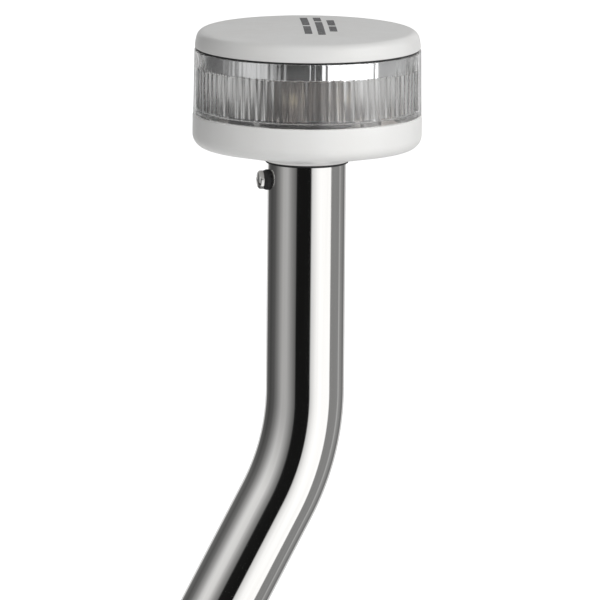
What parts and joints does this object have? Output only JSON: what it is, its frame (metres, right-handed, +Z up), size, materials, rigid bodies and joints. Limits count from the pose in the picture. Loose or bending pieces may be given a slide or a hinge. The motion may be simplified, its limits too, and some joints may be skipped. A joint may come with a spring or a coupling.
{
  "type": "navigation light",
  "caption": "All-round boat navigation light: a round LED lantern on a bent stainless pole that plugs into a deck socket and is locked by a clamp nut.",
  "frame": {"origin": "centre of the deck socket's mounting face, the underside of its gasket, on the axis of the leaning pole", "axes": "+Z up with the light level; the lower pole leans 27.5 degrees from +Z towards +X; the pole's bend lies in the XZ plane"},
  "size_m": [0.229, 0.066, 0.4747],
  "materials": {
    "white_plastic": "fine satin gloss",
    "white_nylon": "satin",
    "clear_lens": "clear, gloss",
    "stainless": "polished stainless steel",
    "chrome": "mirror",
    "brass": "turned",
    "aluminium": "satin",
    "dark_aluminium": "anodised",
    "black_rubber": "matt",
    "silicone": "translucent",
    "black_plastic": "moulded",
    "circuit_board": "solder mask",
    "led_board": "solder mask",
    "led_phosphor": "cast silicone"
  },
  "bodies": {
    "base": {"deck_gasket": "black_rubber", "socket_flange": "stainless", "socket_barrel": "black_plastic", "contact_carrier": "white_nylon", "socket_contact_1": "brass", "socket_contact_2": "brass", "clamp_collet": "black_plastic"},
    "slip_ring": {"slip_ring": "brass"},
    "clamp_nut": {"clamp_nut": "white_nylon"},
    "pole": {"pole_tube": "stainless", "pole_lead": "black_plastic", "plug_body": "black_plastic", "plug_seal": "black_rubber", "plug_cross_pin": "stainless", "plug_pin_1": "brass", "plug_pin_2": "brass", "top_cover": "white_plastic", "cover_gasket": "black_rubber", "lens": "clear_lens", "upper_reflector": "chrome", "lens_seal": "silicone", "base_cup": "white_plastic", "driver_board": "circuit_board", "driver_coil": "black_rubber", "driver_capacitor": "aluminium", "driver_chip": "black_plastic", "board_screw_1": "stainless", "board_screw_2": "stainless", "led_post": "dark_aluminium", "led_post_holder": "black_plastic", "led_board_1": "led_board", "led_1": "led_phosphor", "led_board_2": "led_board", "led_2": "led_phosphor", "led_board_3": "led_board", "led_3": "led_phosphor", "led_board_4": "led_board", "led_4": "led_phosphor", "pole_gasket": "black_rubber", "set_screw": "stainless", "set_screw_washer": "black_rubber"}
  },
  "joints": [
    {"name": "nut_lift", "type": "slide", "parent": "base", "child": "slip_ring", "axis": [0.4617, 0, 0.887], "range_m": [0, 0.012]},
    {"name": "nut_turn", "type": "hinge", "parent": "slip_ring", "child": "clamp_nut", "pos_m": [0, 0, 0], "axis": [0.4617, 0, 0.887], "range_deg": [0, 2160]},
    {"name": "pole_slide", "type": "slide", "parent": "base", "child": "pole", "axis": [0.4617, 0, 0.887], "range_m": [0, 0.075]}
  ],
  "couplings": [
    {"joint": "nut_lift", "follows": "nut_turn", "m_per_rad": 0.00031831}
  ]
}
